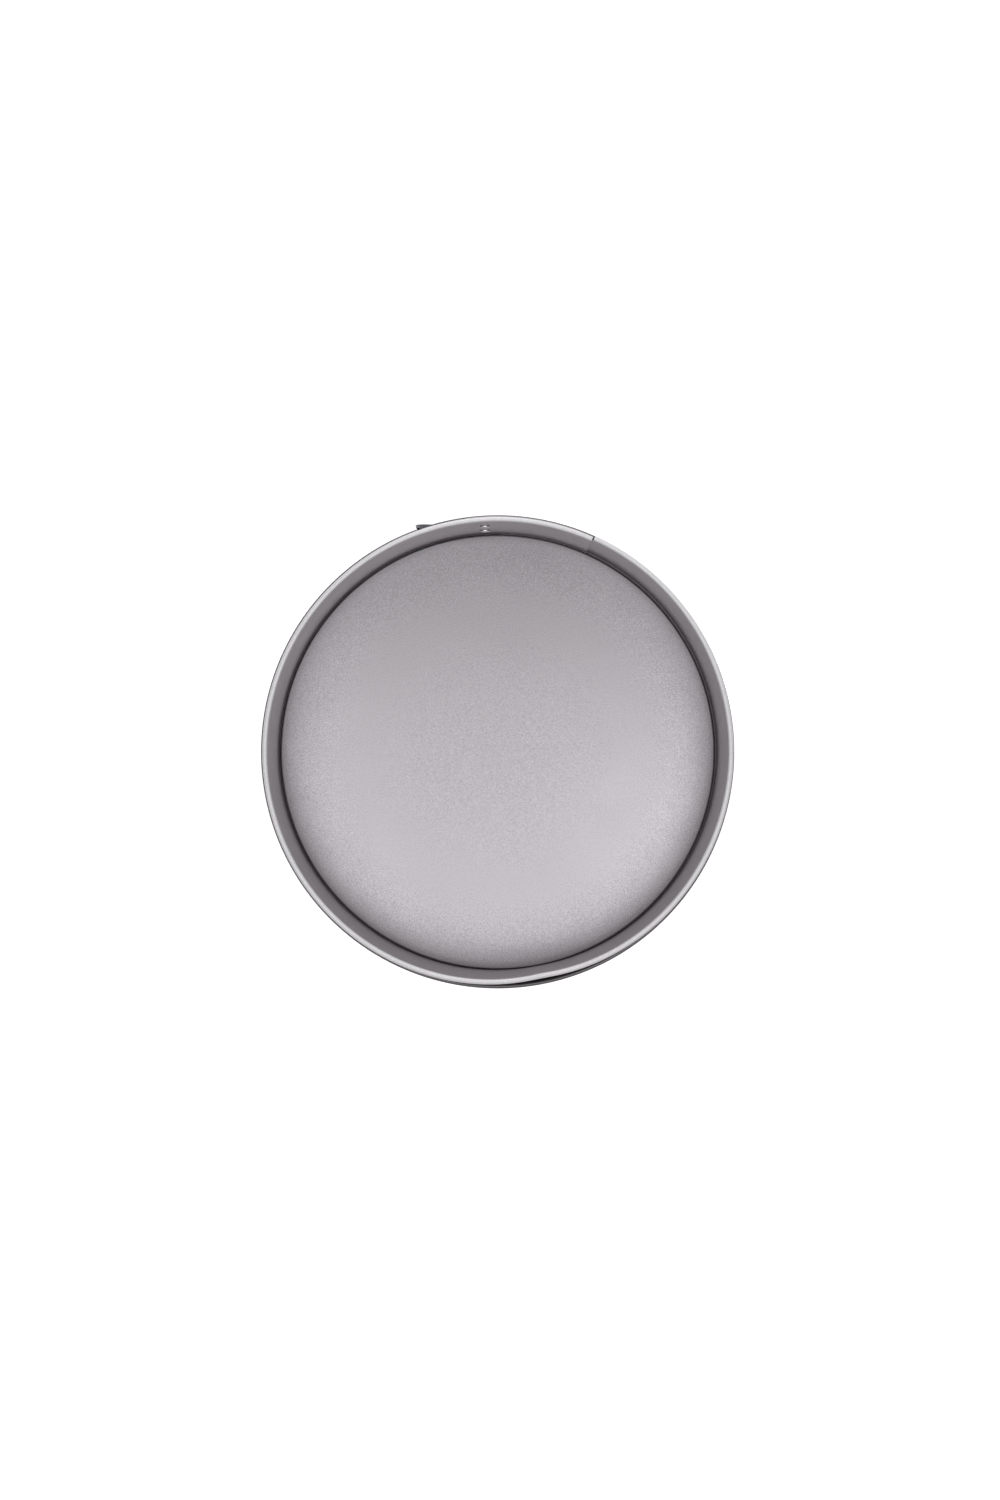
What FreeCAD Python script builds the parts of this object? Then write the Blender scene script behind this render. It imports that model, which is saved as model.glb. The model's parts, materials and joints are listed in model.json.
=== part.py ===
import FreeCAD, Part
import math
import os
import re
import Sketcher

# Springform pan: a round base plate in a spring ring that a lever clasp pulls shut.
# Millimetres and degrees. +Z is up and the origin is the centre of the underside. Angles turn
# anticlockwise from +X, seen from above, and the clasp is at the front, near 270 degrees (-Y).

DIMENSIONS = {
    # Base plate: raised platform, channel for the ring, upturned rim with a rolled edge.
    "plate_sheet": 0.7,
    "platform_radius": 124.0,
    "platform_top": 3.6,
    "platform_shoulder": 1.1,
    "platform_foot": 0.6,
    "channel_corner": 0.8,
    "rim_radius": 135.0,
    "rim_top": 5.5,
    "rim_roll": 1.2,
    # Spring ring: one strip, with a rolled bead at the top and a hem at the bottom.
    "ring_sheet": 0.6,
    "ring_radius": 125.0,
    "ring_bottom": 1.0,
    "ring_top": 68.0,
    "bead_roll": 1.45,
    "hem_roll": 1.0,
    # The strip flexes at two places beside the back; its ends lap at the front.
    "back_start": 62.0,
    "back_end": 118.0,
    "split_gap": 0.14,
    "tongue_end": 242.0,
    "hem_start": 265.0,
    "lap_end": 263.0,
    "lap_bead_end": 241.5,
    "lap_top": 64.0,
    "lap_offset": 0.475,
    # Clasp, all about one height.
    "clasp_sheet": 0.8,
    "clasp_level": 33.0,
    "seat_gap": 0.05,
    "bracket_sheet": 0.7,
    "bracket_start": 264.2,
    "bracket_end": 273.6,
    "mount_height": 31.0,
    "mount_corner": 3.0,
    "ear_face": 6.4,
    "ear_radius": 2.0,
    "rivet_rise": 12.5,
    "rivet_angle": 269.2,
    "rivet_shank": 1.5,
    "rivet_head": 2.8,
    "rivet_dome": 1.1,
    "rivet_band": 0.55,
    # Lever and its two pivots.
    "pivot_radius": 128.6,
    "pivot_angle": 265.4,
    "pivot_bore": 1.15,
    "pin_radius": 1.1,
    "pin_head": 1.85,
    "pin_head_height": 0.85,
    "lever_round": 1.9,
    "neck_half": 8.3,
    "neck_end": 4.0,
    "hand_half": 11.5,
    "hand_start": 13.0,
    "gate_end": 3.2,
    "flare_angle": 281.6,
    "tip_angle": 285.95,
    "flange_end": 283.2,
    "tip_radius": 134.2,
    "tip_corner": 8.5,
    "tip_depth": 1.3,
    # Link, and the catch that its window drops over.
    "link_pin_angle": 269.63,
    "link_inner": 127.8,
    "link_half": 5.0,
    "link_wide_half": 6.2,
    "link_wide_start": 263.3,
    "link_end": 251.1,
    "link_corner": 2.5,
    "window_near": 254.25,
    "window_far": 252.1,
    "window_half": 4.1,
    "catch_start": 245.4,
    "catch_end": 257.0,
    "catch_rivet_angle": 248.2,
    "lug_angle": 253.5,
    "lug_width": 1.4,
    "lug_half": 3.4,
    "lug_tip": 129.6,
}

doc = FreeCAD.newDocument("springform_pan")
sheet = doc.addObject("Spreadsheet::Sheet", "Sheet")
for row, (alias, number) in enumerate(DIMENSIONS.items(), start=1):
    sheet.set(f"A{row}", alias)
    sheet.set(f"B{row}", str(number))
    sheet.setAlias(f"B{row}", alias)
doc.recompute()

LEFT = 1
RIGHT = -1
UP = 1
DOWN = -1


def bound(formula):
    """The formula as another object writes it: every alias, which has an underscore, is the sheet's."""
    return re.sub(r"[a-z]+(?:_[a-z]+)+", lambda match: "Sheet." + match.group(), formula)


def value(formula):
    """The number that a formula of aliases gives now."""
    return float(sheet.evalExpression(formula))


def polar(radius, angle):
    """The two formulas of a point at a radius and an angle about the axis."""
    return f"({radius}) * cos({angle})", f"({radius}) * sin({angle})"


# --- Sketches ---------------------------------------------------------------------------------

def arc_between(start, end, radius, turn):
    """An arc under half a turn, to the left or right of the way from start to end."""
    chord = end - start
    height = math.sqrt(radius ** 2 - (chord.Length / 2) ** 2)
    left = FreeCAD.Vector(-chord.y, chord.x, 0).normalize()
    centre = (start + end) * 0.5 + left * height * turn
    first, last = (start, end) if turn == LEFT else (end, start)
    angles = [math.atan2(point.y - centre.y, point.x - centre.x) for point in (first, last)]
    circle = Part.Circle(centre, FreeCAD.Vector(0, 0, 1), radius)
    return Part.ArcOfCircle(circle, angles[0], angles[1])


def draw_outline(sketch, corners):
    """A closed outline. A corner is (x, y) before a line, or (x, y, radius, turn) before an arc."""
    points = [FreeCAD.Vector(value(corner[0]), value(corner[1]), 0) for corner in corners]
    starts = []
    for index, corner in enumerate(corners):
        here = points[index]
        there = points[(index + 1) % len(points)]
        if len(corner) == 2:
            edge = sketch.addGeometry(Part.LineSegment(here, there), False)
            starts.append((edge, 1, 2))
        else:
            arc = arc_between(here, there, value(corner[2]), corner[3])
            edge = sketch.addGeometry(arc, False)
            starts.append((edge, 1, 2) if corner[3] == LEFT else (edge, 2, 1))
    for index, corner in enumerate(corners):
        edge, first, last = starts[index]
        following, following_first, _ = starts[(index + 1) % len(starts)]
        sketch.addConstraint(Sketcher.Constraint("Coincident", edge, last, following, following_first))
        for kind, formula in (("DistanceX", corner[0]), ("DistanceY", corner[1])):
            rule = Sketcher.Constraint(kind, -1, 1, edge, first, value(formula))
            number = sketch.addConstraint(rule)
            sketch.setExpression(f"Constraints[{number}]", bound(formula))
        if len(corner) > 2:
            number = sketch.addConstraint(Sketcher.Constraint("Radius", edge, value(corner[2])))
            sketch.setExpression(f"Constraints[{number}]", bound(corner[2]))


def new_sketch(body, plane, corners):
    """A sketch of one outline on the body's own origin plane."""
    sketch = body.newObject("Sketcher::SketchObject", "Outline")
    origin_plane = [item for item in body.Origin.OriginFeatures if item.Role == plane][0]
    sketch.AttachmentSupport = [(origin_plane, "")]
    sketch.MapMode = "FlatFace"
    draw_outline(sketch, corners)
    return sketch


def rolled_edge(centre, level, radius, sheet_name, way):
    """A sheet edge rolled outward by three quarters of a turn, starting up or down the wall."""
    inner = f"{radius} - {sheet_name}"
    over, back = (RIGHT, LEFT) if way == UP else (LEFT, RIGHT)
    high, low = ("+", "-") if way == UP else ("-", "+")
    return [
        (f"{centre} - {radius}", level, radius, over),
        (centre, f"{level} {high} {radius}", radius, over),
        (f"{centre} + {radius}", level, radius, over),
        (centre, f"{level} {low} {radius}"),
        (centre, f"{level} {low} ({inner})", inner, back),
        (f"{centre} + {inner}", level, inner, back),
        (centre, f"{level} {high} ({inner})", inner, back),
        (f"{centre} - ({inner})", level),
    ]


def rectangle(left, right, low, high):
    return [(left, low), (right, low), (right, high), (left, high)]


# --- Solids -----------------------------------------------------------------------------------

def new_body(name):
    return doc.addObject("PartDesign::Body", name)


def add_revolution(body, corners, start="0", stop="360"):
    """Turn an outline of radius and height about Z, from one angle to another."""
    sketch = new_sketch(body, "XZ_Plane", corners)
    quarter = FreeCAD.Rotation(FreeCAD.Vector(0, 1, 0), 90)
    sketch.AttachmentOffset = FreeCAD.Placement(FreeCAD.Vector(), quarter)
    sketch.setExpression("AttachmentOffset.Rotation.Angle", bound(start))
    turned = body.newObject("PartDesign::Revolution", "Revolution")
    turned.Profile = sketch
    turned.ReferenceAxis = (sketch, ["V_Axis"])
    turned.setExpression("Angle", bound(f"{stop} - ({start})"))
    return turned


def add_pad(body, plane, corners, length):
    pad = body.newObject("PartDesign::Pad", "Pad")
    pad.Profile = new_sketch(body, plane, corners)
    pad.setExpression("Length", bound(length))
    return pad


def sector(name, inner, outer, low, high, start, stop):
    """A curved plate about the ring's axis."""
    body = new_body(name)
    add_revolution(body, rectangle(inner, outer, low, high), start, stop)
    return body


def rounded_rectangle(left, right, low, high, corner):
    return [
        (left, f"{low} + {corner}", corner, LEFT),
        (f"{left} + {corner}", low),
        (f"{right} - {corner}", low, corner, LEFT),
        (right, f"{low} + {corner}"),
        (right, f"{high} - {corner}", corner, LEFT),
        (f"{right} - {corner}", high),
        (f"{left} + {corner}", high, corner, LEFT),
        (left, f"{high} - {corner}"),
    ]


def front_slab(name, corners):
    """An outline of X and Z, padded forward from the axis past everything on the front."""
    body = new_body(name)
    add_pad(body, "XZ_Plane", corners, "rim_radius + lever_round")
    return body


def rounded_plate(name, inner, sheet_name, start, stop):
    """A curved plate on the front of the ring, as high as the rivets need, with round corners."""
    plate = sector(name + "_sheet", inner, f"{inner} + {sheet_name}", FACE_LOW, FACE_HIGH,
                   f"{start} - 2", f"{stop} + 2")
    left = f"({inner}) * cos({start})"
    right = f"({inner}) * cos({stop})"
    corners = rounded_rectangle(left, right, FACE_LOW, FACE_HIGH, "mount_corner")
    return plate, shared(name, [plate, front_slab(name + "_front", corners)])


def cylinder(name, radius, height, x, y, low):
    """An upright cylinder."""
    made = doc.addObject("Part::Cylinder", name)
    made.setExpression("Radius", bound(radius))
    made.setExpression("Height", bound(height))
    made.setExpression("Placement.Base.x", bound(x))
    made.setExpression("Placement.Base.y", bound(y))
    made.setExpression("Placement.Base.z", bound(low))
    return made


def radial_box(name, inner, outer, width, half_height, angle, level):
    """A box that stands out from the axis at an angle, with its width along the ring."""
    box = doc.addObject("Part::Box", name)
    box.setExpression("Length", bound(f"{outer} - ({inner})"))
    box.setExpression("Width", bound(width))
    box.setExpression("Height", bound(f"2 * ({half_height})"))
    x, y = polar(inner, angle)
    box.setExpression("Placement.Base.x", bound(f"{x} + ({width}) / 2 * sin({angle})"))
    box.setExpression("Placement.Base.y", bound(f"{y} - ({width}) / 2 * cos({angle})"))
    box.setExpression("Placement.Base.z", bound(f"{level} - ({half_height})"))
    box.setExpression("Placement.Rotation.Angle", bound(angle))
    return box


def fused(name, pieces):
    made = doc.addObject("Part::MultiFuse", name)
    made.Shapes = pieces
    return made


def shared(name, pieces):
    made = doc.addObject("Part::MultiCommon", name)
    made.Shapes = pieces
    return made


def cut(name, base, tools):
    made = doc.addObject("Part::Cut", name)
    made.Base = base
    made.Tool = tools[0] if len(tools) == 1 else fused(name + "_tools", tools)
    return made


def point_outward(item, radius, angle, level):
    """Put an object's own Z along the radius at an angle, and its origin at a radius and height."""
    x, y = polar(radius, angle)
    place = FreeCAD.Vector(value(x), value(y), value(level))
    outward = FreeCAD.Rotation(FreeCAD.Vector(0, 0, 1), FreeCAD.Vector(value(x), value(y), 0))
    item.Placement = FreeCAD.Placement(place, outward)


def dome_radius(head, rise):
    """The radius of a dome that spans a head and rises by a height."""
    return f"(({head}) ^ 2 + ({rise}) ^ 2) / (2 * ({rise}))"


# --- Base plate ---------------------------------------------------------------------------------

def make_base_plate():
    wall = "rim_radius - 2 * rim_roll"
    foot = "platform_radius + platform_foot"
    inside = "platform_radius - plate_sheet"
    shoulder = "platform_radius - platform_shoulder"
    corners = [
        ("0", "platform_top"),
        (shoulder, "platform_top", "platform_shoulder", RIGHT),
        ("platform_radius", "platform_top - platform_shoulder"),
        ("platform_radius", "plate_sheet + platform_foot", "platform_foot", LEFT),
        (foot, "plate_sheet"),
        (f"{wall} - channel_corner", "plate_sheet", "channel_corner", LEFT),
        (wall, "plate_sheet + channel_corner"),
    ]
    corners += rolled_edge("rim_radius - rim_roll", "rim_top - rim_roll", "rim_roll", "plate_sheet", UP)
    corners += [
        (f"{wall} + plate_sheet", "plate_sheet + channel_corner", "plate_sheet + channel_corner", RIGHT),
        (f"{wall} - channel_corner", "0"),
        (foot, "0", "plate_sheet + platform_foot", RIGHT),
        (inside, "plate_sheet + platform_foot"),
        (inside, "platform_top - platform_shoulder", "platform_shoulder - plate_sheet", LEFT),
        (shoulder, "platform_top - plate_sheet"),
        ("0", "platform_top - plate_sheet"),
    ]
    body = new_body("base_plate")
    add_revolution(body, corners)
    return body


# --- Spring ring --------------------------------------------------------------------------------

def ring_wall(radius, low, high):
    return rectangle(radius, f"{radius} + ring_sheet", low, high)


def ring_hem(radius):
    return rolled_edge(f"{radius} + hem_roll", "ring_bottom + hem_roll", "hem_roll", "ring_sheet", DOWN)


def ring_bead(radius):
    corners = [(radius, "lap_top")]
    corners += rolled_edge(f"{radius} + bead_roll", "ring_top - bead_roll", "bead_roll", "ring_sheet", UP)
    return corners + [(f"{radius} + ring_sheet", "lap_top")]


def make_ring_back():
    body = new_body("ring_back")
    span = ("back_start + split_gap", "back_end - split_gap")
    add_revolution(body, ring_wall("ring_radius", "ring_bottom + hem_roll", "lap_top"), *span)
    add_revolution(body, ring_hem("ring_radius"), *span)
    add_revolution(body, ring_bead("ring_radius"), *span)
    return body


def rivet_holes(name, angle, offset):
    """Two holes for rivets through the ring and what it carries, one above the other."""
    holes = []
    for sign in ("+", "-"):
        hole = doc.addObject("Part::Cylinder", name + "_hole")
        hole.setExpression("Radius", bound("rivet_shank"))
        hole.setExpression("Height", bound("4 * bead_roll"))
        point_outward(hole, "ring_radius - bead_roll", angle, f"clasp_level {sign} rivet_rise")
        hole.Placement.Base.y -= value(offset)
        holes.append(hole)
    return holes


def make_ring_lever_side():
    """From the back through +X and the front to the plain tongue, which has no hem."""
    body = new_body("lever_side_strip")
    stop = "360 + back_start"
    add_revolution(body, ring_wall("ring_radius", "ring_bottom + hem_roll", "lap_top"), "tongue_end", stop)
    add_revolution(body, ring_bead("ring_radius"), "tongue_end", stop)
    add_revolution(body, ring_hem("ring_radius"), "hem_start", stop)
    tongue_foot = ring_wall("ring_radius", "ring_bottom", "ring_bottom + hem_roll")
    add_revolution(body, tongue_foot, "tongue_end", "hem_start")
    return cut("ring_lever_side", body, rivet_holes("bracket", "rivet_angle", "0"))


def make_ring_catch_side():
    """From the back through -X to the outer end, which laps over the tongue below its bead.

    Its circle is a little larger and lies a little further forward, so that it meets the back of
    the ring and passes outside the tongue."""
    body = new_body("catch_side_strip")
    radius = "ring_radius + lap_offset"
    add_revolution(body, ring_wall(radius, "ring_bottom + hem_roll", "lap_top"), "back_end", "lap_end")
    add_revolution(body, ring_hem(radius), "back_end", "lap_end")
    add_revolution(body, ring_bead(radius), "back_end", "lap_bead_end")
    body.setExpression("Placement.Base.y", bound("-lap_offset"))
    holes = rivet_holes("catch", "catch_rivet_angle", "lap_offset")
    return cut("ring_catch_side", body, holes)


# --- Lever bracket, catch plate and their rivets ------------------------------------------------

PIVOT = polar("pivot_radius", "pivot_angle")
LINK_PIN = polar("pivot_radius", "link_pin_angle")
BRACKET_FACE = "ring_radius + ring_sheet + seat_gap"
CATCH_FACE = "ring_radius + lap_offset + ring_sheet + seat_gap"
FACE_LOW = "clasp_level - mount_height / 2"
FACE_HIGH = "clasp_level + mount_height / 2"


def make_lever_bracket():
    plate = rounded_plate("bracket_plate", BRACKET_FACE, "bracket_sheet", "bracket_start", "bracket_end")[1]
    pieces = [plate]
    half = "clasp_sheet / 2"
    for side, sign in (("upper", "+"), ("lower", "-")):
        middle = f"clasp_level {sign} (ear_face + {half})"
        pieces.append(radial_box(side + "_ear", BRACKET_FACE, "pivot_radius", "2 * ear_radius",
                                 half, "pivot_angle", middle))
        pieces.append(cylinder(side + "_ear_end", "ear_radius", "clasp_sheet",
                               *PIVOT, f"{middle} - {half}"))
    bore = cylinder("bracket_bore", "pin_radius", "2 * hand_half", *PIVOT, "clasp_level - hand_half")
    holes = rivet_holes("bracket_plate", "rivet_angle", "0")
    return cut("lever_bracket", fused("bracket_blank", pieces), [bore] + holes)


def make_catch_plate():
    face, plate = rounded_plate("catch_face", CATCH_FACE, "clasp_sheet", "catch_start", "catch_end")
    face.setExpression("Placement.Base.y", bound("-lap_offset"))
    root = f"{CATCH_FACE} + lap_offset + clasp_sheet / 2"
    lug = radial_box("catch_lug", root, "lug_tip", "lug_width", "lug_half", "lug_angle", "clasp_level")
    holes = rivet_holes("catch_plate", "catch_rivet_angle", "lap_offset")
    return cut("catch_plate", fused("catch_blank", [plate, lug]), holes)


def make_rivet(name, corners, radius, angle, level, offset):
    body = new_body(name)
    add_revolution(body, corners)
    point_outward(body, radius, angle, level)
    body.Placement.Base.y -= value(offset)
    return body


def make_mount_rivets(name, inner_dome, radius, grip, angle, offset):
    """Two rivets through the ring. Their own Z points outward, from the inner face of the ring."""
    dome = dome_radius("rivet_head", "(rivet_dome - rivet_band)")
    inner_end = [("0", "0")]
    if inner_dome:
        inner_end = [("0", "-rivet_dome", dome, LEFT),
                     ("rivet_head", "-rivet_band"),
                     ("rivet_head", "0")]
    corners = inner_end + [
        ("rivet_shank", "0"),
        ("rivet_shank", grip),
        ("rivet_head", grip),
        ("rivet_head", f"{grip} + rivet_band", dome, LEFT),
        ("0", f"{grip} + rivet_dome"),
    ]
    return [make_rivet(f"{name}_{side}", corners, radius, angle, f"clasp_level {sign} rivet_rise", offset)
            for side, sign in (("upper", "+"), ("lower", "-"))]


# --- Lever, link and their pins -----------------------------------------------------------------

def lever_side_outline():
    """The lever from above: round at the pivot, along the ring, and flared at the tip."""
    face = "pivot_radius + lever_round"
    edge = "pivot_radius - lever_round"
    heel = (f"{PIVOT[0]} + lever_round * sin(pivot_angle)",
            f"{PIVOT[1]} - lever_round * cos(pivot_angle)")
    return [
        (*polar(face, "pivot_angle"), face, LEFT),
        polar(face, "flare_angle"),
        polar("tip_radius", "tip_angle"),
        polar("tip_radius - tip_depth", "tip_angle"),
        (*polar(edge, "flange_end"), edge, RIGHT),
        (*polar(edge, "pivot_angle"), "lever_round", LEFT),
        (*heel, "lever_round", LEFT),
    ]


def lever_hollow_outline():
    """The space under the lever's face, open towards the ring."""
    face = "pivot_radius + lever_round - clasp_sheet"
    return [
        (*polar(face, "pivot_angle - 3"), face, LEFT),
        polar(face, "flare_angle"),
        polar("tip_radius - clasp_sheet", "tip_angle"),
        polar("ring_radius - lever_round", "tip_angle"),
        polar("ring_radius - lever_round", "pivot_angle - 3"),
    ]


def lever_front_outline(inset):
    """The lever from the front: narrow at the pivots, wider for the hand, with a round tip."""
    heel = f"{PIVOT[0]} - 2 * lever_round"
    tip = f"tip_radius * cos(tip_angle) - {inset}"
    corner = f"tip_corner - {inset}"
    middle = "(neck_end + hand_start) / 2"
    swell = "((hand_start - neck_end) ^ 2 + (hand_half - neck_half) ^ 2) / (4 * (hand_half - neck_half))"

    def level(sign, half):
        return f"clasp_level {sign} ({half} - {inset})"

    def side(sign, first, second):
        return [
            (heel, level(sign, "neck_half")),
            ("neck_end", level(sign, "neck_half"), swell, first),
            (middle, level(sign, "(neck_half + hand_half) / 2"), swell, second),
            ("hand_start", level(sign, "hand_half")),
            (f"{tip} - ({corner})", level(sign, "hand_half"), corner, LEFT),
            (tip, level(sign, "(hand_half - tip_corner + " + inset + ")")),
        ]

    below = side("-", RIGHT, LEFT)
    above = [corner_point[:2] for corner_point in reversed(side("+", LEFT, RIGHT))]
    above[0] = (*above[0], corner, LEFT)
    above[2] = (*above[2], swell, LEFT)
    above[3] = (*above[3], swell, RIGHT)
    return below + above


def lever_block(name, side_corners, front_corners):
    """What a side outline and a front outline have in common."""
    from_above = new_body(name + "_from_above")
    add_pad(from_above, "XY_Plane", side_corners, "ring_top")
    return shared(name, [from_above, front_slab(name + "_from_front", front_corners)])


def make_lever():
    blank = lever_block("lever_blank", lever_side_outline(), lever_front_outline("0"))
    hollow = lever_block("lever_hollow", lever_hollow_outline(), lever_front_outline("clasp_sheet"))
    gate_half = "neck_half - clasp_sheet"
    gate = doc.addObject("Part::Box", "lever_gate")
    gate.setExpression("Length", bound("4 * pivot_bore + gate_end - pivot_radius * cos(pivot_angle)"))
    gate.setExpression("Width", bound("rim_radius - ring_radius"))
    gate.setExpression("Height", bound(f"2 * ({gate_half})"))
    gate.setExpression("Placement.Base.x", bound("pivot_radius * cos(pivot_angle) - 4 * pivot_bore"))
    gate.setExpression("Placement.Base.y", bound("-rim_radius"))
    gate.setExpression("Placement.Base.z", bound(f"clasp_level - ({gate_half})"))
    holes = [cylinder("lever_pivot_hole", "pivot_bore", "ring_top", *PIVOT, "0"),
             cylinder("lever_pin_hole", "pin_radius", "ring_top", *LINK_PIN, "0")]
    return cut("lever", blank, [hollow, gate] + holes)


def make_pivot_rivets():
    """Two short rivets, one for each ear, so that the link can cross the pivot between them."""
    rivets = []
    flange = "neck_half + seat_gap"
    corners = [
        ("0", "ear_face - pin_head_height"),
        ("pin_head", "ear_face - pin_head_height"),
        ("pin_head", "ear_face"),
        ("pin_radius", "ear_face"),
        ("pin_radius", flange),
        ("pin_head", flange, dome_radius("pin_head", "pin_head_height"), LEFT),
        ("0", f"{flange} + pin_head_height"),
    ]
    for side, turn in (("upper", 0), ("lower", 180)):
        body = new_body(f"lever_pivot_rivet_{side}")
        add_revolution(body, corners)
        place = FreeCAD.Vector(value(PIVOT[0]), value(PIVOT[1]), value("clasp_level"))
        body.Placement = FreeCAD.Placement(place, FreeCAD.Rotation(FreeCAD.Vector(1, 0, 0), turn))
        rivets.append(body)
    return rivets


def link_front_outline():
    """The link from the front: a wide end for the window, and a narrower neck to the knuckle."""
    end = "link_inner * cos(link_end)"
    shoulder = "link_inner * cos(link_wide_start)"
    knuckle = LINK_PIN[0]
    low_end = "clasp_level - link_wide_half"
    high_end = "clasp_level + link_wide_half"
    low_neck = "clasp_level - link_half"
    high_neck = "clasp_level + link_half"
    step = "link_wide_half - link_half"
    return [
        (end, f"{low_end} + link_corner", "link_corner", LEFT),
        (f"{end} + link_corner", low_end),
        (f"{shoulder} - ({step})", low_end, step, LEFT),
        (shoulder, low_neck),
        (knuckle, low_neck),
        (knuckle, high_neck),
        (shoulder, high_neck, step, LEFT),
        (f"{shoulder} - ({step})", high_end),
        (f"{end} + link_corner", high_end, "link_corner", LEFT),
        (end, f"{high_end} - link_corner"),
    ]


def make_link():
    strip = sector("link_strip", "link_inner", "link_inner + clasp_sheet",
                   "clasp_level - 2 * link_half", "clasp_level + 2 * link_half",
                   "link_end - 2", "link_pin_angle + 2")
    plate = shared("link_plate", [strip, front_slab("link_front", link_front_outline())])
    knuckle = cylinder("link_knuckle", "lever_round", "2 * link_half", *LINK_PIN,
                       "clasp_level - link_half")
    bore = cylinder("link_bore", "pivot_bore", "ring_top", *LINK_PIN, "0")
    window = sector("link_window", "ring_radius", "rim_radius", "clasp_level - window_half",
                    "clasp_level + window_half", "window_far", "window_near")
    return cut("link", fused("link_blank", [plate, knuckle]), [bore, window])


def make_link_pin():
    end = "neck_half + pin_head_height"
    corners = [
        ("0", f"-({end})"),
        ("pin_head", f"-({end})"),
        ("pin_head", "-neck_half"),
        ("pin_radius", "-neck_half"),
        ("pin_radius", "neck_half"),
        ("pin_head", "neck_half"),
        ("pin_head", end),
        ("0", end),
    ]
    body = new_body("link_pin")
    add_revolution(body, corners)
    body.Placement.Base = FreeCAD.Vector(value(LINK_PIN[0]), value(LINK_PIN[1]), value("clasp_level"))
    return body


# --- The whole pan ------------------------------------------------------------------------------

nodes = [
    make_base_plate(),
    make_ring_back(),
    make_ring_lever_side(),
    make_ring_catch_side(),
    make_lever_bracket(),
    make_catch_plate(),
    make_lever(),
    make_link(),
    make_link_pin(),
]
nodes += make_pivot_rivets()
nodes += make_mount_rivets("lever_bracket_rivet", True, "ring_radius - seat_gap",
                           "ring_sheet + 2 * seat_gap + bracket_sheet", "rivet_angle", "0")
nodes += make_mount_rivets("catch_rivet", False, "ring_radius + lap_offset",
                           "ring_sheet + seat_gap + clasp_sheet", "catch_rivet_angle", "lap_offset")
doc.recompute()

for item in doc.Objects:
    if "Invalid" in item.State or "Error" in item.State:
        raise RuntimeError(f"{item.Name} did not recompute: {item.State}")

os.makedirs("parts", exist_ok=True)
for node in nodes:
    node.Label = node.Name
    shape = node.Shape
    if shape.isNull() or not shape.isValid() or len(shape.Solids) != 1:
        raise RuntimeError(f"{node.Label} is not one valid solid")
    shape.exportStep(f"parts/{node.Label}.step")
    print(f"{node.Label:28s} volume {shape.Volume:10.1f}")
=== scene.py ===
import json
import math

import bmesh
import bpy
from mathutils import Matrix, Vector

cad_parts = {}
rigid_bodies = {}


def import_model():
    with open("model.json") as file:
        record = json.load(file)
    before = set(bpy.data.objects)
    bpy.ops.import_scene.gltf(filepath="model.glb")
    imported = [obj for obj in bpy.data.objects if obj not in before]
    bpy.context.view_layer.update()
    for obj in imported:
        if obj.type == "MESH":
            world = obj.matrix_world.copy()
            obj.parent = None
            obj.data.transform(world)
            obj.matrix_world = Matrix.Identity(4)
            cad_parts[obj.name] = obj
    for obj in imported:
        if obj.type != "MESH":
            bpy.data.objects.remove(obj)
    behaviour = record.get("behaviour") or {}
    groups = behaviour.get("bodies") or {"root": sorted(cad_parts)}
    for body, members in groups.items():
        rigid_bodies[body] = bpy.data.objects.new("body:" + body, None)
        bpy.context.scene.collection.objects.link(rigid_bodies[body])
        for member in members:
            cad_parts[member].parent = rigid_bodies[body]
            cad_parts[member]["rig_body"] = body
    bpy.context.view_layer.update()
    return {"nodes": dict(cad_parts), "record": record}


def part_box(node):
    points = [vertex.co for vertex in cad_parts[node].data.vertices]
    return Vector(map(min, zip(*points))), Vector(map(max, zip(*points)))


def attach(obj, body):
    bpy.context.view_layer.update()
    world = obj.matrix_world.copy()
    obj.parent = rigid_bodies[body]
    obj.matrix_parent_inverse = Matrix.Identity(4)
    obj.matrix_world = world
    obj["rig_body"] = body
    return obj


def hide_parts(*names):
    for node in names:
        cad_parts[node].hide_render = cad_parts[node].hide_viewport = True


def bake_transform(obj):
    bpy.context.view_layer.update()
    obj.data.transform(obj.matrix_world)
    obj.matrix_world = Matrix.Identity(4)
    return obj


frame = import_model()

# The looks of a springform pan, in metres, in the frame's own axes: +Z up, the clasp at -Y.
# Angles turn anticlockwise from +X, seen from above.
MM = 0.001


def turned(degrees):
    """The level direction at an angle."""
    return Vector((math.cos(math.radians(degrees)), math.sin(math.radians(degrees)), 0.0))


# --- Places and sizes, from the frame ---------------------------------------------------------

PLATE_LOW, PLATE_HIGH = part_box("base_plate")
RING_LOW, RING_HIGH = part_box("ring_back")
RIM_RADIUS = PLATE_HIGH.x
RING_TOP = RING_HIGH.z
RING_BOTTOM = RING_LOW.z

PLATE_SHEET = 0.7 * MM
PLATFORM_RADIUS = RIM_RADIUS - 11.0 * MM
PLATFORM_TOP = 3.6 * MM
PLATFORM_SHOULDER = 1.1 * MM
PLATFORM_CROWN = 0.5 * MM
PLATFORM_FOOT = 0.6 * MM
PLATFORM_STEPS = 40
CHANNEL_CORNER = 0.8 * MM
RIM_ROLL = 1.2 * MM

RING_SHEET = 0.6 * MM
RING_RADIUS = RIM_RADIUS - 10.0 * MM
BEAD_ROLL = 1.45 * MM
HEM_ROLL = 1.0 * MM
STRIP_STEPS = 16
# The outer end of the strip lies over the inner one, which ends in a tongue. Angles in degrees.
LAP_TOP = 64.0 * MM
LAP_OFFSET = 0.475 * MM
BACK = 90.0
TONGUE_END = -118.0
HEM_START = -95.0
LAP_END = 263.0
LAP_BEAD_END = 241.5

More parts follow.
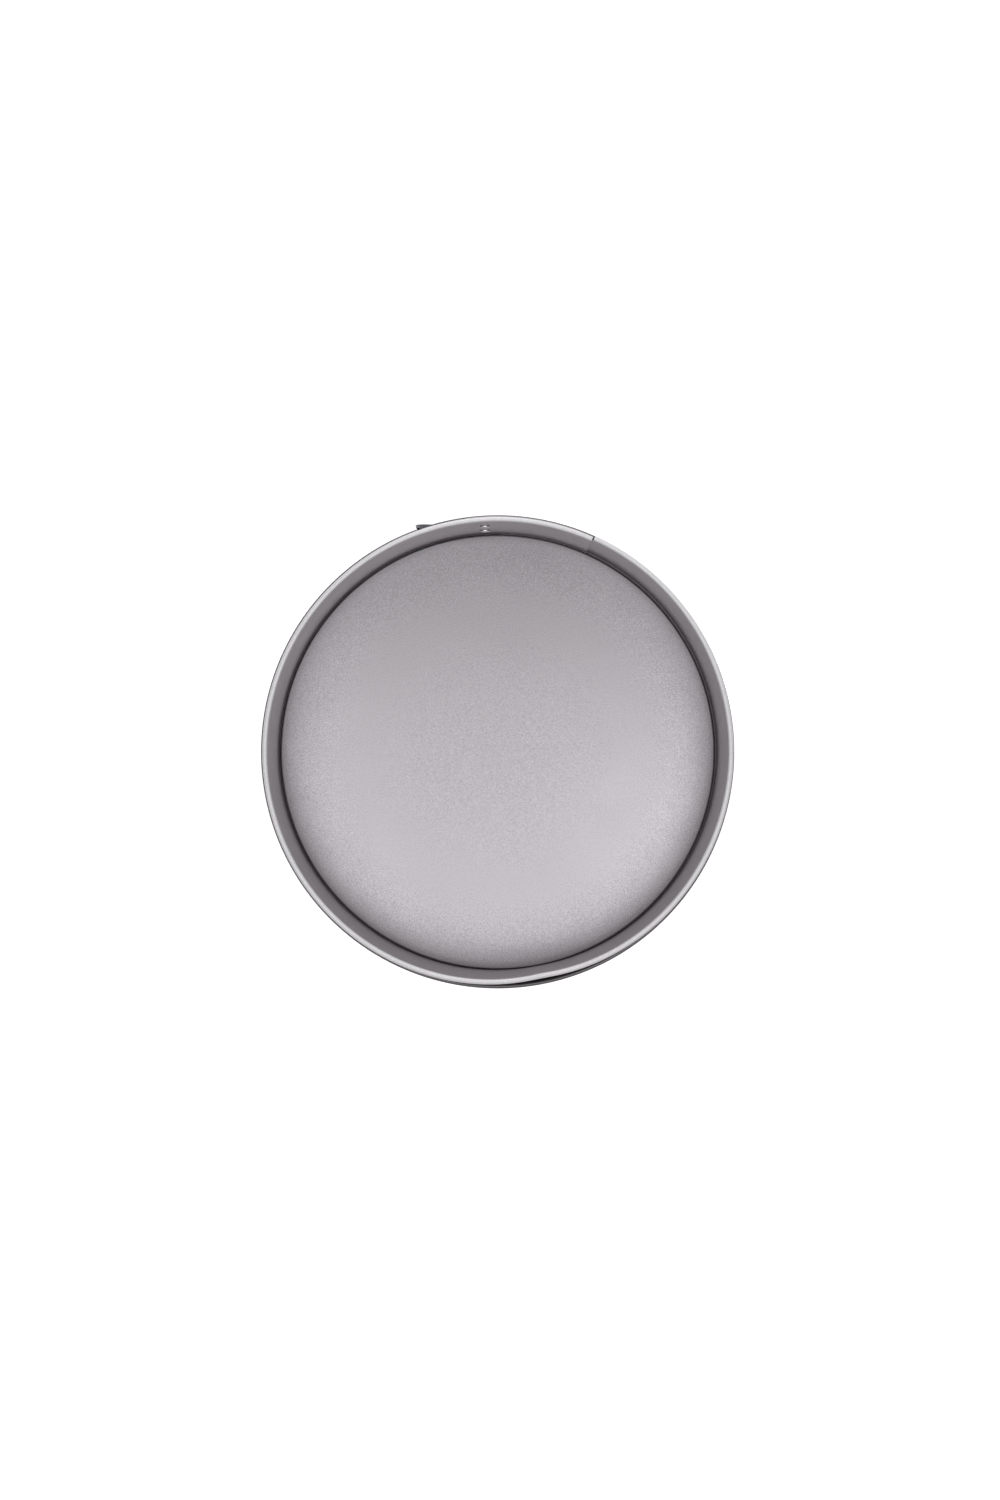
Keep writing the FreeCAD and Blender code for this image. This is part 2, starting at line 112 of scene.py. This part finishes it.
# Image up points to this angle, so that the clasp is just left of the top of the picture.
VIEW_UP = 266.0
VIEW_HEIGHT = 1.3115
VIEW_LENS = 55.0
VIEW_SIDE_STEP = 1.35 * MM
VIEW_UP_STEP = 1.05 * MM

# A paper floor with a weak glow of its own, so that the pan's shadow on it stays faint.
FLOOR_HALF = 6.0
FLOOR_DROP = 0.05 * MM
FLOOR_GREY = 0.85
FLOOR_GLOW = 0.42

# Lights: sizes and places in metres, power in watts.
ROOM_STRENGTH = 0.8
PANEL_WIDTH = 1.0
PANEL_DEPTH = 1.3
PANEL_HEIGHT = 2.0
PANEL_ASIDE = 0.6
PANEL_DOWN = 0.5
RIGHT_POWER = 11.2
LEFT_POWER = 9.5
WINDOW_WIDTH = 1.2
WINDOW_DEPTH = 0.9
WINDOW_HEIGHT = 0.9
WINDOW_AWAY = 1.5
WINDOW_POWER = 15.0


# --- Camera, floor and light ------------------------------------------------------------------

def add_camera():
    data = bpy.data.cameras.new("camera")
    data.lens = VIEW_LENS
    data.sensor_width = 36.0
    data.clip_start = 0.01
    data.clip_end = 50.0
    camera = bpy.data.objects.new("camera", data)
    bpy.context.scene.collection.objects.link(camera)
    step = turned(VIEW_UP - 90.0) * VIEW_SIDE_STEP + turned(VIEW_UP) * VIEW_UP_STEP
    camera.location = step + Vector((0, 0, VIEW_HEIGHT))
    camera.rotation_euler = (0, 0, math.radians(VIEW_UP - 90.0))
    bpy.context.scene.camera = camera


def add_floor():
    mesh = bpy.data.meshes.new("floor")
    half = FLOOR_HALF
    level = PLATE_LOW.z - FLOOR_DROP
    corners = [(-half, -half, level), (half, -half, level), (half, half, level), (-half, half, level)]
    mesh.from_pydata(corners, [], [(0, 1, 2, 3)])
    floor = bpy.data.objects.new("floor", mesh)
    bpy.context.scene.collection.objects.link(floor)
    material = bpy.data.materials.new("floor_paper")
    material.use_nodes = True
    shader = material.node_tree.nodes["Principled BSDF"]
    shader.inputs["Base Color"].default_value = (FLOOR_GREY, FLOOR_GREY, FLOOR_GREY, 1)
    shader.inputs["Roughness"].default_value = 0.9
    shader.inputs["Emission Color"].default_value = (1, 1, 1, 1)
    shader.inputs["Emission Strength"].default_value = FLOOR_GLOW
    mesh.materials.append(material)


def add_panel(name, place, width, depth, power, aim=Vector((0, 0, 0))):
    """A soft light with a flat face that points at a place."""
    data = bpy.data.lights.new(name, "AREA")
    data.shape = "RECTANGLE"
    data.size = width
    data.size_y = depth
    data.energy = power
    panel = bpy.data.objects.new(name, data)
    bpy.context.scene.collection.objects.link(panel)
    panel.location = place
    panel.rotation_euler = (place - aim).to_track_quat("Z", "Y").to_euler()


def add_light():
    """Two wide panels overhead with a dim seam between them, a lower one beyond the clasp, a white room."""
    world = bpy.data.worlds.new("studio")
    world.use_nodes = True
    background = world.node_tree.nodes["Background"]
    background.inputs["Color"].default_value = (1, 1, 1, 1)
    background.inputs["Strength"].default_value = ROOM_STRENGTH
    bpy.context.scene.world = world
    bpy.context.scene.view_settings.view_transform = "Standard"
    down = turned(VIEW_UP + 180.0)
    right = turned(VIEW_UP - 90.0)
    for name, side, power in (("right_panel", 1, RIGHT_POWER), ("left_panel", -1, LEFT_POWER)):
        under = down * PANEL_DOWN + right * side * PANEL_ASIDE
        overhead = under + Vector((0, 0, PANEL_HEIGHT))
        add_panel(name, overhead, PANEL_WIDTH, PANEL_DEPTH, power, under)
    window = down * -WINDOW_AWAY + Vector((0, 0, WINDOW_HEIGHT))
    add_panel("window_panel", window, WINDOW_WIDTH, WINDOW_DEPTH, WINDOW_POWER)


# --- Outlines ---------------------------------------------------------------------------------

def arc(radius, level, size, start, stop, steps):
    """Points on an arc of an outline about (radius, level), with both ends."""
    points = []
    for step in range(steps + 1):
        angle = math.radians(start + (stop - start) * step / steps)
        points.append((radius + size * math.cos(angle), level + size * math.sin(angle)))
    return points


def rolled_edge(radius, level, roll, sheet, way):
    """A sheet edge rolled outward by three quarters of a turn, up (way 1) or down (way -1)."""
    outside = arc(radius, level, roll, 180, 180 - way * 270, 24)
    inside = arc(radius, level, roll - sheet, 180 - way * 270, 180, 20)
    return outside + inside


def line(start, end, steps):
    """Points along a straight stretch, without its end."""
    outward = end[0] - start[0]
    upward = end[1] - start[1]
    return [(start[0] + outward * step / steps, start[1] + upward * step / steps) for step in range(steps)]


def crowned(points):
    """Points of the platform, which falls off a little towards its edge, as a pressed sheet does."""
    return [(radius, level - PLATFORM_CROWN * (radius / PLATFORM_RADIUS) ** 3) for radius, level in points]


def plate_outline():
    """Half a section of the base plate, from the axis out over the top and back underneath."""
    wall = RIM_RADIUS - 2 * RIM_ROLL
    shoulder = PLATFORM_TOP - PLATFORM_SHOULDER
    foot = PLATE_SHEET + PLATFORM_FOOT
    inner_edge = PLATFORM_RADIUS - PLATFORM_SHOULDER
    under = PLATFORM_TOP - PLATE_SHEET
    corner = (wall - CHANNEL_CORNER, PLATE_SHEET + CHANNEL_CORNER)
    points = crowned(line((0.0, PLATFORM_TOP), (inner_edge, PLATFORM_TOP), PLATFORM_STEPS))
    points += crowned(arc(inner_edge, shoulder, PLATFORM_SHOULDER, 90, 0, 8))
    points += arc(PLATFORM_RADIUS + PLATFORM_FOOT, foot, PLATFORM_FOOT, 180, 270, 5)
    points += arc(*corner, CHANNEL_CORNER, 270, 360, 6)
    points += rolled_edge(RIM_RADIUS - RIM_ROLL, PLATE_HIGH.z - RIM_ROLL, RIM_ROLL, PLATE_SHEET, 1)
    points += arc(*corner, CHANNEL_CORNER + PLATE_SHEET, 0, -90, 8)
    points += arc(PLATFORM_RADIUS + PLATFORM_FOOT, foot, foot, 270, 180, 7)
    points += crowned(arc(inner_edge, shoulder, PLATFORM_SHOULDER - PLATE_SHEET, 0, 90, 6))
    points += crowned(line((inner_edge, under), (0.0, under), PLATFORM_STEPS)[1:])
    points.append((0.0, under))
    return points


def ring_outline(radius, bead, hem):
    """A section of the strip: its inner face from the foot up, the bead, its outer face, the hem."""
    hem_level = RING_BOTTOM + HEM_ROLL
    bead_level = RING_TOP - BEAD_ROLL
    outer = radius + RING_SHEET
    foot = hem_level if hem else RING_BOTTOM
    head = bead_level if bead else LAP_TOP
    points = line((radius, foot), (radius, head), STRIP_STEPS)
    if bead:
        points += rolled_edge(radius + BEAD_ROLL, bead_level, BEAD_ROLL, RING_SHEET, 1)
    else:
        points += [(radius, head), (outer, head)]
    points += line((outer, head), (outer, foot), STRIP_STEPS)[1:]
    if hem:
        points += reversed(rolled_edge(radius + HEM_ROLL, hem_level, HEM_ROLL, RING_SHEET, -1)[1:])
    else:
        points += [(outer, foot)]
    return points


# --- Meshes -----------------------------------------------------------------------------------

WELD_DISTANCE = 1e-7
NODE_WELD_DISTANCE = 1e-6
FLAT_ANGLE = math.radians(0.5)
BEVEL_ANGLE = math.radians(35)
BEVEL_SEGMENTS = 3
SOFTENED_SMOOTH_ANGLE = 30.0


def add_object(name, mesh):
    piece = bpy.data.objects.new(name, mesh)
    bpy.context.scene.collection.objects.link(piece)
    return piece


def smooth(mesh, limit=40.0):
    mesh.shade_smooth()
    mesh.set_sharp_from_angle(angle=math.radians(limit))


def sweep(work, outline, start, stop, steps, place):
    """Sweep a closed outline about the axis, with flat ends where it isn't a full turn."""
    full = abs(stop - start) >= 360
    count = steps if full else steps + 1
    rows = []
    for step in range(count):
        angle = start + (stop - start) * step / steps
        rows.append([work.verts.new(place(radius, angle, level)) for radius, level in outline])
    size = len(outline)
    for step in range(steps):
        here = rows[step]
        there = rows[(step + 1) % count]
        for index in range(size):
            following = (index + 1) % size
            work.faces.new((here[index], there[index], there[following], here[following]))
    if not full:
        work.faces.new(rows[0])
        work.faces.new(list(reversed(rows[-1])))


def finish_mesh(name, work):
    bmesh.ops.remove_doubles(work, verts=work.verts, dist=WELD_DISTANCE)
    bmesh.ops.recalc_face_normals(work, faces=work.faces)
    mesh = bpy.data.meshes.new(name)
    work.to_mesh(mesh)
    work.free()
    smooth(mesh)
    return add_object(name, mesh)


def round_place(radius, angle, level):
    return turned(angle) * radius + Vector((0, 0, level))


# The strip has taken a set: it is pressed in a little at the back, most of all at the bead.
# Angle and reach in degrees; the share of the depth that is left at the foot.
SET_ANGLE = 97.0
SET_DEPTH = 2.7 * MM
SET_REACH = 20.0
SET_TIP = 1.6
SET_AT_FOOT = 0.25


def set_depth(angle, level):
    """How far the strip stands in from its circle, at an angle and a level."""
    away = math.hypot(angle - SET_ANGLE, SET_TIP) - SET_TIP
    share = SET_AT_FOOT + (1 - SET_AT_FOOT) * level / RING_TOP
    return SET_DEPTH * share * math.exp(-away / SET_REACH)


def lever_side_place(radius, angle, level):
    return round_place(radius - set_depth(angle, level), angle, level)


def catch_side_place(radius, angle, level):
    return lever_side_place(radius, angle, level) - Vector((0, LAP_OFFSET, 0))


def add_base_plate():
    work = bmesh.new()
    sweep(work, plate_outline(), 0, 360, 360, round_place)
    plate = finish_mesh("base_plate_shell", work)
    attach(plate, "base")
    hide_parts("base_plate")
    return plate


def add_ring_half(name, stretches, place, node):
    """One half of the strip, from the middle of the back, bending over a long stretch into its side."""
    work = bmesh.new()
    for outline, start, stop in stretches:
        sweep(work, outline, start, stop, max(2, round(abs(stop - start))), place)
    half = finish_mesh(name, work)
    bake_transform(half)
    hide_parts(node, "ring_back")
    return half


def add_ring():
    outer_radius = RING_RADIUS + LAP_OFFSET
    lever_half = add_ring_half(
        "ring_lever_half_strip",
        [(ring_outline(RING_RADIUS, True, True), BACK, HEM_START),
         (ring_outline(RING_RADIUS, True, False), HEM_START, TONGUE_END)],
        lever_side_place, "ring_lever_side")
    catch_half = add_ring_half(
        "ring_catch_half_strip",
        [(ring_outline(outer_radius, True, True), BACK, LAP_BEAD_END),
         (ring_outline(outer_radius, False, True), LAP_BEAD_END, LAP_END)],
        catch_side_place, "ring_catch_side")
    return [lever_half, catch_half]


def add_softened(node, body, slot, width, finish, worn):
    """A copy of a pressed or turned piece, with its sharp edges rounded and rubbed as real ones are."""
    work = bmesh.new()
    work.from_mesh(frame["nodes"][node].data)
    bmesh.ops.remove_doubles(work, verts=work.verts, dist=NODE_WELD_DISTANCE)
    bmesh.ops.dissolve_limit(work, angle_limit=FLAT_ANGLE, verts=work.verts, edges=work.edges)
    mesh = bpy.data.meshes.new(node + "_soft")
    work.to_mesh(mesh)
    work.free()
    mesh.materials.append(finish)
    mesh.materials.append(worn)
    piece = add_object(node + "_piece", mesh)
    bevel = piece.modifiers.new("round_edges", "BEVEL")
    bevel.material = 1
    bevel.limit_method = "ANGLE"
    bevel.angle_limit = BEVEL_ANGLE
    bevel.width = width
    bevel.segments = BEVEL_SEGMENTS
    bevel.use_clamp_overlap = True
    graph = bpy.context.evaluated_depsgraph_get()
    rounded = bpy.data.meshes.new_from_object(piece.evaluated_get(graph))
    piece.modifiers.clear()
    piece.data = rounded
    smooth(rounded, SOFTENED_SMOOTH_ANGLE)
    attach(piece, body)
    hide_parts(node)
    return piece


# --- Materials --------------------------------------------------------------------------------

class Surface:
    """A procedural material, built up from a few kinds of step."""

    def __init__(self, name, metallic, roughness):
        self.material = bpy.data.materials.new(name)
        self.material.use_nodes = True
        self.nodes = self.material.node_tree.nodes
        self.links = self.material.node_tree.links
        self.shader = self.nodes["Principled BSDF"]
        self.shader.inputs["Metallic"].default_value = metallic
        self.shader.inputs["Roughness"].default_value = roughness
        self.where = self.nodes.new("ShaderNodeTexCoord").outputs["Object"]

    def noise(self, scale, detail=2.0, stretch=(1, 1, 1), roughness=0.5):
        """Noise between 0 and 1, in object space, with a scale in grains per metre."""
        mapping = self.nodes.new("ShaderNodeMapping")
        mapping.inputs["Scale"].default_value = stretch
        self.links.new(self.where, mapping.inputs["Vector"])
        texture = self.nodes.new("ShaderNodeTexNoise")
        texture.inputs["Scale"].default_value = scale
        texture.inputs["Detail"].default_value = detail
        texture.inputs["Roughness"].default_value = roughness
        self.links.new(mapping.outputs["Vector"], texture.inputs["Vector"])
        return texture.outputs["Fac"]

    def ramp(self, factor, stops):
        """Colours along a factor, from (position, colour) stops."""
        ramp = self.nodes.new("ShaderNodeValToRGB")
        elements = ramp.color_ramp.elements
        for index, (position, colour) in enumerate(stops):
            element = elements[index] if index < 2 else elements.new(position)
            element.position = position
            element.color = (*colour, 1)
        self.links.new(factor, ramp.inputs["Fac"])
        return ramp.outputs["Color"]

    def multiplied(self, first, second):
        """One colour times another."""
        mix = self.nodes.new("ShaderNodeMix")
        mix.data_type = "RGBA"
        mix.blend_type = "MULTIPLY"
        mix.inputs["Factor"].default_value = 1.0
        self.links.new(first, mix.inputs["A"])
        self.links.new(second, mix.inputs["B"])
        return mix.outputs["Result"]

    def scaled(self, factor, low, high):
        """A factor from 0 to 1, laid over a range."""
        spread = self.nodes.new("ShaderNodeMapRange")
        spread.inputs["To Min"].default_value = low
        spread.inputs["To Max"].default_value = high
        self.links.new(factor, spread.inputs["Value"])
        return spread.outputs["Result"]

    def bump(self, height, strength, distance, before=None):
        """A relief from a height, on top of another relief if there is one."""
        bump = self.nodes.new("ShaderNodeBump")
        bump.inputs["Strength"].default_value = strength
        bump.inputs["Distance"].default_value = distance
        self.links.new(height, bump.inputs["Height"])
        if before is not None:
            self.links.new(before, bump.inputs["Normal"])
        return bump.outputs["Normal"]

    def set(self, name, output):
        self.links.new(output, self.shader.inputs[name])


# Noise scales, in grains per metre.
FLAKE_SCALE = 2600
COARSE_SCALE = 1700
PEEL_SCALE = 900
GLOSS_SCALE = 40
CLOUD_SCALE = 9
DRAWING_SCALE = 420
PATCH_SCALE = 160
RUBBED_SCALE = 700


def coating(name, colour, roughness, metallic=0.85, edge=1.0, speckle=0.16):
    """A satin non-stick coat: fine metal flake in a grey film, with soft clouds in colour and gloss.

    Below 1, edge darkens the coat's reflection where it is seen at a grazing angle: a painted shade,
    standing in for darker surroundings mirrored there.
    """
    surface = Surface(name, metallic, roughness)
    # Painted shade: the Specular Tint darkens reflections at grazing angles.
    surface.shader.inputs["Specular Tint"].default_value = (edge, edge, edge, 1)
    darker = [part * (1 - speckle) for part in colour]
    lighter = [min(1.0, part * (1 + speckle)) for part in colour]
    flake = surface.noise(FLAKE_SCALE, 2.0)
    grain = surface.ramp(flake, [(0.35, darker), (0.65, lighter)])
    coarse_grain = surface.noise(COARSE_SCALE, 1.0)
    coarse = surface.ramp(coarse_grain, [(0.36, (0.87, 0.87, 0.87)), (0.64, (1.0, 1.0, 1.0))])
    clouds = surface.noise(CLOUD_SCALE, 3.0)
    tint = surface.ramp(clouds, [(0.3, (0.96, 0.96, 0.97)), (0.7, (1.0, 0.995, 1.0))])
    speckled = surface.multiplied(grain, coarse)
    surface.set("Base Color", surface.multiplied(speckled, tint))
    gloss = surface.noise(GLOSS_SCALE, 4.0)
    surface.set("Roughness", surface.scaled(gloss, roughness - 0.04, roughness + 0.05))
    peel = surface.bump(surface.noise(PEEL_SCALE, 3.0), 0.12, 0.05 * MM)
    surface.set("Normal", surface.bump(flake, 0.10, 0.02 * MM, peel))
    return surface.material


def pressed_steel(name, colour, roughness, stretch):
    """Plated sheet steel, with fine drawing lines along the piece and a few dull patches."""
    surface = Surface(name, 1.0, roughness)
    darker = [part * 0.78 for part in colour]
    lines = surface.noise(DRAWING_SCALE, 4.0, stretch, 0.65)
    drawn = surface.ramp(lines, [(0.35, darker), (0.62, colour)])
    patches = surface.noise(PATCH_SCALE, 3.0)
    dull = surface.ramp(patches, [(0.38, (0.86, 0.85, 0.84)), (0.6, (1.0, 1.0, 1.0))])
    surface.set("Base Color", surface.multiplied(drawn, dull))
    surface.set("Roughness", surface.scaled(lines, roughness - 0.06, roughness + 0.10))
    surface.set("Normal", surface.bump(lines, 0.15, 0.03 * MM))
    return surface.material


def worn_coat(name, colour, metal, roughness):
    """A dark coat on an edge, rubbed through to the metal in places."""
    surface = Surface(name, 0.8, roughness)
    rubbed = surface.noise(RUBBED_SCALE, 4.0)
    surface.set("Base Color", surface.ramp(rubbed, [(0.38, colour), (0.52, metal)]))
    surface.set("Roughness", surface.scaled(rubbed, roughness + 0.05, roughness - 0.08))
    surface.set("Normal", surface.bump(rubbed, 0.2, -0.02 * MM))
    return surface.material


def finish_of(name):
    """The record's colour for a slot."""
    found = [item for item in frame["record"]["materials"] if item["slot"] == name]
    return found[0]["base_color"][:3]


def paint(piece, material, edge_material, is_edge):
    """Give a piece its material, and the faces that is_edge picks by their centre another one."""
    piece.data.materials.clear()
    piece.data.materials.append(material)
    piece.data.materials.append(edge_material)
    for face in piece.data.polygons:
        face.material_index = 1 if is_edge(face.center) else 0


def on_lit_bead(centre):
    """Whether a face belongs to the rolled bead, which takes the painted highlight."""
    angle = math.degrees(math.atan2(centre.y, centre.x))
    outward = math.hypot(centre.x, centre.y) + set_depth(angle, centre.z) - RING_RADIUS
    if centre.z > RING_TOP - BEAD_ROLL:
        return True
    return centre.z > RING_TOP - 2 * BEAD_ROLL and outward > 1.1 * BEAD_ROLL


def on_shaded_rim(centre):
    """Whether a face belongs to the plate's channel and rim outside the wall, which take the painted shade.
    """
    return math.hypot(centre.x, centre.y) > RING_RADIUS + 2 * HEM_ROLL


# --- The scene --------------------------------------------------------------------------------

add_camera()
add_floor()
add_light()

# The rim and the bead take colours of their own, both painted light: the rim a painted shade, dark for the
# shade under the bead, and the bead a painted highlight, lighter where its rounded top catches the light
# overhead; the others take the record's.
# Painted shade: the rim's colour is darkened for the shade under the bead.
RIM_SHADE_COLOUR = (0.10, 0.095, 0.10)
# Painted highlight: the bead is lighter than the wall because its rounded top catches the light overhead.
BEAD_HIGHLIGHT_COLOUR = (0.50, 0.49, 0.50)
# Drawing lines that run level round the piece, and none.
LEVEL_LINES = (0.15, 0.15, 1.0)
NO_LINES = (1.0, 1.0, 1.0)

base_coat = coating("base_coat", finish_of("base_coating"), 0.30, speckle=0.24)
# The rim's coat is painted shade: a dark colour, with its reflection darkened at grazing angles.
rim_painted_shade = coating("rim_painted_shade", RIM_SHADE_COLOUR, 0.30, edge=0.4)
ring_coat = coating("ring_coat", finish_of("ring_coating"), 0.34, metallic=0.65)
# The bead's coat is painted light: a lighter colour as a painted highlight on its top, and its reflection
# fully darkened at grazing angles as painted shade on its outer side.
bead_painted_light = coating("bead_painted_light", BEAD_HIGHLIGHT_COLOUR, 0.48, metallic=0.45, edge=0.0, speckle=0.06)
lever_coat = coating("lever_coat", finish_of("lever_coating"), 0.30, metallic=0.6)
lever_edge = worn_coat("lever_edge", finish_of("lever_coating"), finish_of("clasp_steel"), 0.34)
clasp_steel = pressed_steel("clasp_steel", finish_of("clasp_steel"), 0.36, LEVEL_LINES)
clasp_edge = pressed_steel("clasp_edge", finish_of("rivet_steel"), 0.30, LEVEL_LINES)
rivet_steel = pressed_steel("rivet_steel", finish_of("rivet_steel"), 0.30, NO_LINES)
rivet_edge = pressed_steel("rivet_edge", finish_of("rivet_steel"), 0.20, NO_LINES)

# The plate's rim outside the wall gets the painted shade.
paint(add_base_plate(), base_coat, rim_painted_shade, on_shaded_rim)
# The strips' beads get the painted highlight and shade.
for strip in add_ring():
    paint(strip, ring_coat, bead_painted_light, on_lit_bead)

# For each slot: how far its edges are rounded, the material of its faces and that of its edges.
FINISHES = {
    "clasp_steel": (0.15 * MM, clasp_steel, clasp_edge),
    "lever_coating": (0.3 * MM, lever_coat, lever_edge),
    "rivet_steel": (0.15 * MM, rivet_steel, rivet_edge),
}
for item in frame["record"]["subparts"]:
    slot = item["material_slot"]
    if slot in FINISHES:
        add_softened(item["node"], frame["nodes"][item["node"]]["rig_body"], slot, *FINISHES[slot])
